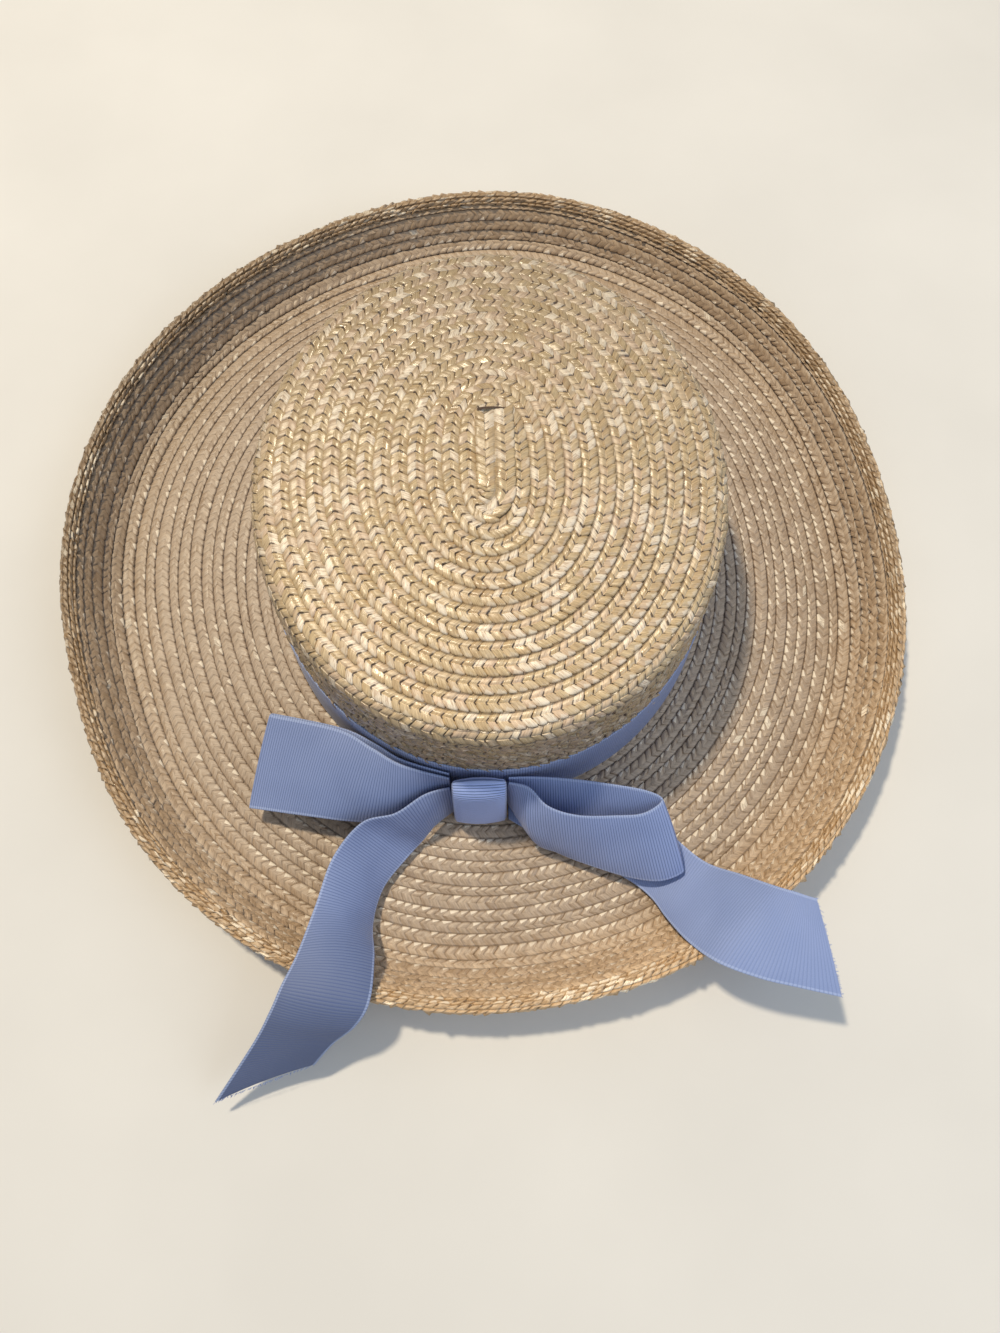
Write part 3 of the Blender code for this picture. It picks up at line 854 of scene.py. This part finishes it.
def start_place(offset, run):
    """Points of the strip that the spiral starts from: run is metres along its middle from
    the cut end, offset is metres to its outer side. It turns under the first row."""
    turned = np.maximum(run - START_STRAIGHT, 0.0) / START_BEND
    reach = np.where(turned > 0.0, START_BEND + offset, offset)
    x = START_X + np.where(turned > 0.0, reach * np.cos(turned) - START_BEND, offset)
    y = START_END - np.minimum(run, START_STRAIGHT)
    y = y - np.where(turned > 0.0, reach * np.sin(turned), 0.0)
    dome = 1.0 - (x / CROWN[1][0]) ** 2 - (y / CROWN[2][0]) ** 2
    sinks = START_DIVE * np.clip(turned, 0.0, None) ** 2
    height = CROWN[3][0] + DOME_HEIGHT * dome - sinks
    return np.stack([CROWN_X + x, CROWN_Y + y, WALL + height], axis=-1)


def make_start_strip(straw):
    """The full width of the braid, laid along the middle of the tip, and painted shade at its cut end.
    """
    length = START_STRAIGHT + START_TURN * START_BEND
    half = 0.5 * START_WIDTH
    runs = np.linspace(-START_SPARE, length + START_SPARE, 200)
    for name, lap, late in (("crown_start_left", -1, 0.0), ("crown_start_right", 1, 0.5)):
        low, high = min(lap * half, 0.0), max(lap * half, 0.0)
        course = Course(start_place, 0.5 * (low + high), half, 0.0, low, high,
                        runs, runs + late * PERIOD)
        lay_braid(name, course, (0, int(length / PERIOD)), CROWN_ROW, straw, "crown", lap=lap,
                  depth=SUNK - START_PROUD, seed=9 + lap)
    offsets = START_WIDTH * np.linspace(*CUT_SPAN, CUT_STEPS)[:, None]
    widths = np.linspace(*CUT_WIDTHS, CUT_STEPS)[:, None]
    runs = CUT_BOW * (2.0 * offsets / START_WIDTH) ** 2 + widths * CUT_SIDES
    offsets = offsets + 0.0 * runs
    cut = start_place(offsets, runs) + np.array([0.0, 0.0, CUT_PROUD])
    # Painted shade: a flat dark band standing for the shade in the gap at the strip's cut end
    material, shader = new_material("straw_cut_painted_shade")
    shader.inputs["Base Color"].default_value = PAINTED_SHADE_UMBER
    shader.inputs["Roughness"].default_value = 0.8
    mesh = grid_mesh("crown_start_cut_shade", cut, offsets, runs, flip=True)
    show("crown_start_cut_shade", mesh, material, "crown")


def make_brim():
    """The brim's spiral, above and below, and the doubled braid of its rim."""
    sewn = straw_material("straw_brim", BRIM_STRAW)
    edge = straw_material("straw_rim", RIM_STRAW)
    spiral = make_spiral(brim_place, BRIM_ROW, BRIM_END, 0.0, FULL_TURN * BRIM_TURNS)
    flat = (0, strands_at(spiral, BRIM_FLAT + 0.5 * BRIM_ROW))
    curl = (flat[1], strands_at(spiral, BRIM_END + 0.35 * BRIM_ROW))
    lay_braid("brim_flat", spiral, flat, BRIM_ROW_LINES, sewn, "brim", lap=-1, seed=5)
    lay_braid("brim_curl", spiral, curl, CURL_ROW_LINES, sewn, "brim", lap=-1, seed=6)
    for name, span, seed in (("brim_underside", flat, 7), ("brim_outside", curl, 8)):
        lay_braid(name, spiral, span, PLAIN_ROW, sewn, "brim", side=-1, depth=UNDER_SUNK - WALL,
                  seed=seed)
    for index in range(EDGE_ROWS):
        low, high = (EDGE[0][-1] * step / EDGE_ROWS for step in (index, index + 1))
        ring, strands = make_ring(edge_place, low, high)
        lay_braid(f"rim_row_{index + 1}", ring, (0, strands), RIM_ROW_LINES, edge, "edge_braid",
                  depth=EDGE_SUNK, seed=20 + index)


# Ribbon

# A strip of the bow where it is cut across: its two edges, from the middle of the crown's
# foot on the brim's upper face, and how far it bulges between them
Section = namedtuple("Section", "upper lower bulge")
BOW_ORIGIN = np.array([CROWN_X, CROWN_Y, WALL])
SECTION_STEPS = 24
LEFT_LOOP = (
    Section((-17.0, -98.6, 31.0), (-17.0, -99.6, 8.0), 0.3),
    Section((-33.6, -93.4, 32.0), (-36.0, -109.5, 9.2), 2.0),
    Section((-43.5, -87.2, 31.5), (-53.0, -109.5, 12.5), 2.2),
    Section((-56.0, -79.2, 28.0), (-67.0, -107.7, 13.8), 1.2),
    Section((-80.5, -71.3, 20.2), (-88.9, -103.6, 10.2), 0.5),
    Section((-81.9, -70.6, 19.0), (-90.3, -103.2, 9.0), 0.4),
    Section((-80.1, -70.3, 18.0), (-88.4, -102.8, 8.0), 0.4),
    Section((-55.5, -78.1, 25.7), (-66.5, -106.8, 11.5), 1.0),
    Section((-43.0, -85.2, 29.7), (-52.5, -108.3, 10.4), 1.8),
    Section((-33.2, -91.6, 31.0), (-35.5, -107.2, 7.8), 1.4),
    Section((-17.0, -97.0, 31.0), (-17.0, -98.2, 8.0), 0.3),
)
RIGHT_LOOP = (
    Section((3.6, -100.6, 31.0), (3.6, -103.6, 6.5), 0.5),
    Section((10.5, -102.6, 31.6), (13.0, -118.0, 6.2), 3.4),
    Section((16.8, -109.0, 30.0), (20.5, -121.8, 6.3), 1.4),
    Section((27.0, -112.2, 28.0), (30.0, -126.0, 6.6), 0.4),
    Section((40.0, -112.5, 27.0), (45.5, -131.5, 7.4), 0.6),
    Section((50.0, -112.0, 27.5), (57.2, -133.5, 9.5), 0.6),
    Section((56.6, -107.8, 28.5), (65.2, -130.5, 11.5), 0.8),
    Section((51.8, -104.6, 29.0), (59.5, -126.8, 9.5), 0.6),
    Section((40.5, -102.3, 30.0), (45.0, -122.2, 7.6), 0.4),
    Section((27.3, -100.3, 31.0), (30.0, -117.8, 6.8), 0.4),
    Section((14.0, -99.0, 31.0), (14.5, -111.2, 6.5), 0.3),
    Section((3.6, -98.9, 31.0), (3.6, -101.6, 6.5), 0.3),
)
LEFT_TAIL = (
    Section((-17.0, -100.8, 26.0), (-17.0, -105.5, 4.0), 0.8),
    Section((-26.0, -103.0, 25.5), (-23.5, -110.3, 3.7), 2.2),
    Section((-36.5, -108.8, 22.5), (-28.0, -115.5, 3.5), 1.0),
    Section((-48.5, -111.5, 20.5), (-34.0, -122.0, 3.5), -1.4),
    Section((-58.5, -123.0, 19.5), (-42.5, -132.5, 4.2), 1.8),
    Section((-64.0, -139.5, 20.5), (-46.0, -145.0, 6.2), 3.6),
    Section((-68.5, -155.0, 25.5), (-44.0, -157.0, 17.2), 3.6),
    Section((-73.0, -165.0, 27.5), (-44.3, -170.5, 24.7), 2.6),
    Section((-77.0, -173.0, 25.0), (-49.0, -178.0, 22.2), 1.8),
    Section((-83.5, -183.0, 19.0), (-57.0, -183.5, 16.5), 0.5),
    Section((-97.7, -201.3, 8.0), (-64.3, -190.4, 10.0), -1.4),
)
RIGHT_TAIL = (
    Section((3.6, -100.8, 3.7), (3.6, -109.0, 3.7), 0.2),
    Section((20.0, -99.4, 3.2), (17.0, -117.0, 2.2), 0.4),
    Section((37.5, -99.6, 3.2), (33.0, -124.5, 2.2), 0.6),
    Section((53.0, -106.5, 3.7), (47.0, -132.5, 2.3), 0.8),
    Section((64.0, -117.5, 5.2), (54.5, -139.0, 3.2), 0.8),
    Section((74.0, -127.5, 9.5), (58.5, -146.5, 8.5), 1.2),
    Section((84.5, -133.0, 17.5), (63.5, -155.0, 18.0), 1.8),
    Section((93.5, -137.7, 24.5), (71.0, -162.0, 26.0), 1.6),
    Section((99.6, -140.0, 26.5), (84.0, -167.3, 27.0), 1.2),
    Section((103.0, -141.3, 26.8), (96.5, -170.5, 26.0), 1.0),
    Section((106.3, -142.4, 27.0), (111.3, -174.0, 24.0), 0.8),
)


def smooth_curve(points, steps):
    """Points on the smooth curve through a table's points, steps to a section."""
    points = np.array(points)
    last = len(points) - 1
    share = np.arange(steps)[:, None] / steps
    curve = []
    for index in range(last):
        before, here, after, beyond = points[np.clip(index + np.arange(-1, 3), 0, last)]
        bend = 2.0 * before - 5.0 * here + 4.0 * after - beyond
        twist = 3.0 * (here - after) + beyond - before
        curve.append(here + 0.5 * share * (after - before + share * (bend + share * twist)))
    return np.concatenate(curve + [points[-1:]])


def along_table(points, positions):
    """A curve's points at distances along it, for a table whose first column is distance."""
    return np.stack([np.interp(positions, points[:, 0], column) for column in points[:, 1:].T], axis=-1)


def fray(name, upper, lower, onward, material, node, seed):
    """Show the loose ends of threads along a tail's cut."""
    rng = np.random.default_rng(seed)
    share = (np.arange(FRAY_THREADS) + rng.uniform(0.0, 1.0, FRAY_THREADS))[:, None] / FRAY_THREADS
    aside = unit(lower - upper)
    onward = unit(onward)
    root = upper + (lower - upper) * share - FRAY_WIDTH * onward
    reach = FRAY_WIDTH + FRAY_LENGTH * rng.uniform(0.1, 1.0, (FRAY_THREADS, 1))
    tip = root + reach * onward + reach * rng.normal(0.0, FRAY_SPLAY, (FRAY_THREADS, 1)) * aside
    half = 0.5 * FRAY_WIDTH * aside
    points = np.stack([root - half, root + half, tip + 0.5 * half, tip - 0.5 * half], axis=1)
    points = points.reshape(-1, 3) + BOW_ORIGIN
    mesh = bpy.data.meshes.new(name)
    mesh.from_pydata(points.tolist(), [], np.arange(len(points)).reshape(-1, 4).tolist())
    mesh.uv_layers.new(name="strands")
    return show(name, mesh, material, node)


def ribs_along(length):
    """The phase and rise of each line of a ribbon's ribs, and how many ribs it has."""
    ribs = int(length / RIB_PITCH)
    shares, rises = np.array(RIB).T
    phase = np.append((np.arange(ribs)[:, None] + shares).ravel(), ribs)
    return phase, np.append(np.tile(rises, ribs), rises[0]), ribs


def weave_ribbon(name, upper, lower, bulge, side, material, node, held, rests_on, with_pieces=()):
    """Show a ribbon between two edges, with its ribs, as a closed sheet of cloth."""
    runs = path_lengths(0.5 * (upper + lower))
    phase, rise, ribs = ribs_along(runs[-1])
    table = np.column_stack([runs, upper, lower, bulge])
    row = along_table(table, phase / ribs * runs[-1])
    upper, lower, bulge = row[:, None, 0:3], row[:, None, 3:6], row[:, 6]
    lane = np.array(RIBBON_LANES)
    onward = np.gradient(row[:, 0:3] + row[:, 3:6], axis=0)
    outward = unit(side * np.cross(onward, row[:, 3:6] - row[:, 0:3]))
    arch = bulge[:, None] * (1.0 - (2.0 * lane - 1.0) ** 2)
    sheet = upper + (lower - upper) * lane[:, None] + outward[:, None] * arch[..., None]
    normal = unit(side * np.cross(np.gradient(sheet, axis=0), np.gradient(sheet, axis=1)))
    edge = np.minimum(lane, 1.0 - lane)
    relief = np.where(edge < SELVAGE_SHARE, SELVAGE_RELIEF, 1.0) * rise[:, None] * RIB_HEIGHT
    half = (0.5 * CLOTH + relief)[..., None]
    front, back = sheet + normal * half, sheet - normal * half
    points = np.concatenate([front, back[:, ::-1]], axis=1)
    across = np.broadcast_to(np.concatenate([lane, lane[::-1]]), points.shape[:2])
    along = np.broadcast_to(phase[:, None], points.shape[:2])
    mesh = grid_mesh(name, points + BOW_ORIGIN, along, across, flip=side > 0, tube=True)
    piece = show(name, mesh, material, node)


def weave_strip(name, sections, side, material, held, rests_on):
    """Show a loop or tail of the bow from its table of sections."""
    node = f"bow_{name}"
    upper = MM * smooth_curve([section.upper for section in sections], SECTION_STEPS)
    lower = MM * smooth_curve([section.lower for section in sections], SECTION_STEPS)
    bulges = [MM * section.bulge for section in sections]
    bulge = np.interp(np.linspace(0.0, len(bulges) - 1.0, len(upper)), range(len(bulges)), bulges)
    threads = []
    if held == "laid":
        onward = upper[-1] + lower[-1] - upper[-4] - lower[-4]
        threads = [fray(f"fray_of_{name}", upper[-1], lower[-1], onward, material, node, 30 + side)]
    weave_ribbon(name, upper, lower, bulge, side, material, node, held, rests_on, threads)


def weave_band(material):
    """Show the ribbon round the crown; its ends meet behind the knot."""
    azimuth = np.linspace(-0.5 * math.pi, 1.5 * math.pi, 361)
    edges = []
    for height in (GAP + RIBBON_WIDTH, GAP):
        half_x, half_y = crown_half_sizes(height)
        off = GAP + 0.5 * CLOTH + RIB_HEIGHT
        x = (half_x + off) * np.cos(azimuth)
        y = (half_y + off) * np.sin(azimuth)
        edges.append(np.column_stack([x, y, height + 0.0 * azimuth]))
    weave_ribbon("band_ribbon", *edges, 0.0 * azimuth, -1, material, "hat_band", "stretched",
                 ["crown_side"])


def weave_knot(material):
    """Show the wrap that gathers the bow: ribs level, front leaning back, sides closed."""
    loop = MM * smooth_curve(KNOT + KNOT[:1], 12)
    runs = path_lengths(loop)
    phase, rise, ribs = ribs_along(runs[-1])
    phase, rise = phase[:-1], rise[:-1]
    path = along_table(np.column_stack([runs, loop]), phase / ribs * runs[-1])
    onward = np.roll(path, -1, axis=0) - np.roll(path, 1, axis=0)
    outward = unit(np.column_stack([-onward[:, 1], onward[:, 0]]))
    lane = np.array(KNOT_LANES)[:, None]
    edge = np.minimum(lane, 1.0 - lane)
    swell = KNOT_SWELL * (1.0 - (2.0 * lane - 1.0) ** 2) - np.where(edge > 0.0, 0.0, KNOT_CLOSED)
    swell = swell + RIB_HEIGHT * rise * np.where(edge < SELVAGE_SHARE, SELVAGE_RELIEF, 1.0)
    y = path[:, 0] + outward[:, 0] * swell
    z = path[:, 1] + outward[:, 1] * swell
    x = KNOT_X + KNOT_WIDTH * (lane - 0.5) + 0.0 * y
    points = np.stack([CROWN_X + x, CROWN_Y + y, WALL + z], axis=-1)
    mesh = grid_mesh("knot_wrap", points, phase + 0.0 * x, lane + 0.0 * x, flip=False, tube=True)
    show("knot_wrap", mesh, material, "bow_knot")


THREAD_SCALES = (3.0, 120.0)  # along the ribbon and across it
RIBBON_DYES = ((0.30, (0.195, 0.262, 0.490)), (0.70, (0.288, 0.366, 0.630)))
PAINTED_VALLEY_SHADE = (0.070, 0.110, 0.290, 1.0)
SELVAGE_BLUE = (0.42, 0.52, 0.80, 1.0)
RIB_CREST = 0.36  # half width of a rib between its valleys, in ribs
TAIL_END_SHADE_SLOPE = (0.020, -1.1)  # over the ribs along a tail, where painted shade darkens it
BEADS = (-0.35, 0.60)
CLOTH_FINISH = (("Roughness", 0.62), ("Specular IOR Level", 0.35), ("Sheen Weight", 0.25),
                ("Sheen Roughness", 0.4))


def ribbon_material(name, lift, ribs, tail_end_shade=0.0):
    """Ribbed ribbon: fine threads along the ribs and a paler, beaded selvage at both edges.
    lift is how much lighter painted light makes its colour, ribs how dark the painted shade in
    its valleys is, and the last argument how much darker painted shade makes it along a tail."""
    material, shader = new_material(name)
    n = Nodes(material)
    along, across = n.strands()
    place = n.place()
    threads = [n.times(value, scale) for value, scale in zip((along, across), THREAD_SCALES)]
    thread = n.noise(n.vector(*threads), 1.0, 2.0)
    patch = n.noise(place, 30.0, 2.0)
    colour = n.ramp(n.add(n.times(thread, 0.5), n.times(patch, 0.5)), *RIBBON_DYES)
    # Painted light and shade: each copy of the ribbon is made lighter by lift where it catches more
    # light, and a tail darker towards its end, where it turns from the light
    painted_light_factor = n.line(n.limited(n.line(along, *TAIL_END_SHADE_SLOPE)), -tail_end_shade * lift, lift)
    colour = n.mix(1.0, colour, n.vector(painted_light_factor, painted_light_factor, painted_light_factor), "MULTIPLY")
    # Painted shade: the valleys between the ribs are darkened
    valley = n.above(n.apart(n.sums("FRACT", along), 0.5), RIB_CREST)
    colour = n.mix(n.times(valley, ribs), colour, PAINTED_VALLEY_SHADE)
    edge = n.sums("MINIMUM", across, n.less(1.0, across))
    bead = n.times(n.below(edge, SELVAGE_SHARE), n.line(valley, *BEADS))
    n.feed(shader.inputs["Base Color"], n.mix(bead, colour, SELVAGE_BLUE))
    for key, value in CLOTH_FINISH:
        shader.inputs[key].default_value = value
    soft = n.bump(n.noise(place, 55.0, 1.0), 0.6, 0.0022)
    bump = n.bump(thread, 0.25, 0.0001)
    n.feed(bump.inputs["Normal"], soft.outputs[0])
    n.feed(shader.inputs["Normal"], bump.outputs[0])
    return material


def make_ribbons():
    """The band, the knot, the two loops and the two tails."""
    # Lit and shaded copies of one ribbon: painted light makes the knot, the right loop and the right
    # tail lighter and the left tail darker; the painted shade in the rib valleys is weakest on the lit
    # right tail
    ribbon = ribbon_material("ribbon", 1.0, ribs=0.65)
    right_loop = ribbon_material("ribbon_right_loop", 1.15, ribs=0.65)
    left_tail = ribbon_material("ribbon_left_tail", 0.98, ribs=0.60, tail_end_shade=0.55)
    right_tail = ribbon_material("ribbon_right_tail", 1.12, ribs=0.22)
    weave_band(ribbon)
    weave_knot(ribbon_material("ribbon_knot", 1.62, ribs=0.80))
    weave_strip("loop_left", LEFT_LOOP, 1, ribbon, "folded", ["tail_left", "knot_wrap"])
    weave_strip("loop_right", RIGHT_LOOP, -1, right_loop, "folded", ["tail_right", "knot_wrap"])
    weave_strip("tail_left", LEFT_TAIL, 1, left_tail, "laid", ["brim_flat", "rim_row_1"])
    weave_strip("tail_right", RIGHT_TAIL, -1, right_tail, "laid", ["brim_flat", "rim_row_1"])


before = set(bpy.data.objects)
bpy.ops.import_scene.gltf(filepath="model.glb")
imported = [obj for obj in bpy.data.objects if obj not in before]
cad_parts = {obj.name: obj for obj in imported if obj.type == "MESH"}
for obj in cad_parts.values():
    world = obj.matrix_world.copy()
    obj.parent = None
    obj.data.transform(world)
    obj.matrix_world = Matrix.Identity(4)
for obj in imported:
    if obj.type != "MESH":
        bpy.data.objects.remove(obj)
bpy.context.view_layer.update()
make_floor()
make_lights()
make_camera()
make_crown()
make_brim()
make_ribbons()
